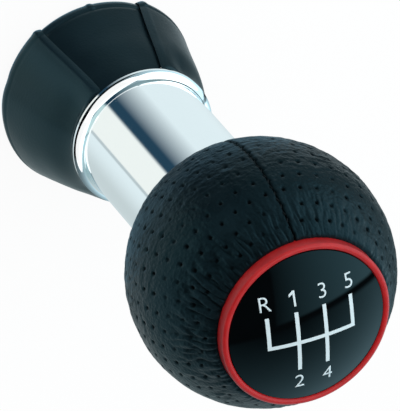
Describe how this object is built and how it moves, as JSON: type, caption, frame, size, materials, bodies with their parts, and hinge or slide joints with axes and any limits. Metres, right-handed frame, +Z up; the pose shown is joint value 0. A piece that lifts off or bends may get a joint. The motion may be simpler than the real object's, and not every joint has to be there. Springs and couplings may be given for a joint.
{
  "type": "gear shift knob",
  "caption": "Ball gear shift knob with a perforated leather cover, domed shift pattern cap in a red trim ring, chrome sleeve and short sewn gaiter skirt, sliding onto a round gear lever.",
  "frame": {"origin": "centre of the skirt's rim, on the lever's axis, in the plane that the rim stands on", "axes": "+Z up the lever towards the cap, +Y to the front, where the ball's seam is, +X to the right seen from behind"},
  "size_m": [0.05, 0.05, 0.1004],
  "materials": {
    "ball_leather": "black perforated leather, soft sheen",
    "core_plastic": "moulded black plastic",
    "trim_red": "glossy red lacquer",
    "cap_black": "glossy black with a pale printed gate",
    "sleeve_chrome": "polished chrome",
    "bush_plastic": "moulded black plastic",
    "clamp_steel": "bright steel band",
    "gaiter_leather": "smooth black leather, satin"
  },
  "bodies": {
    "root": {"leather_cover": "ball_leather", "core_upper": "core_plastic", "core_lower": "core_plastic", "trim_ring": "trim_red", "shift_pattern_cap": "cap_black", "chrome_sleeve": "sleeve_chrome", "lever_bush": "bush_plastic", "retaining_collar": "bush_plastic", "lever_clamp": "clamp_steel", "gaiter_front_panel": "gaiter_leather", "gaiter_rear_panel": "gaiter_leather", "gaiter_left_panel": "gaiter_leather", "gaiter_right_panel": "gaiter_leather"}
  },
  "joints": []
}
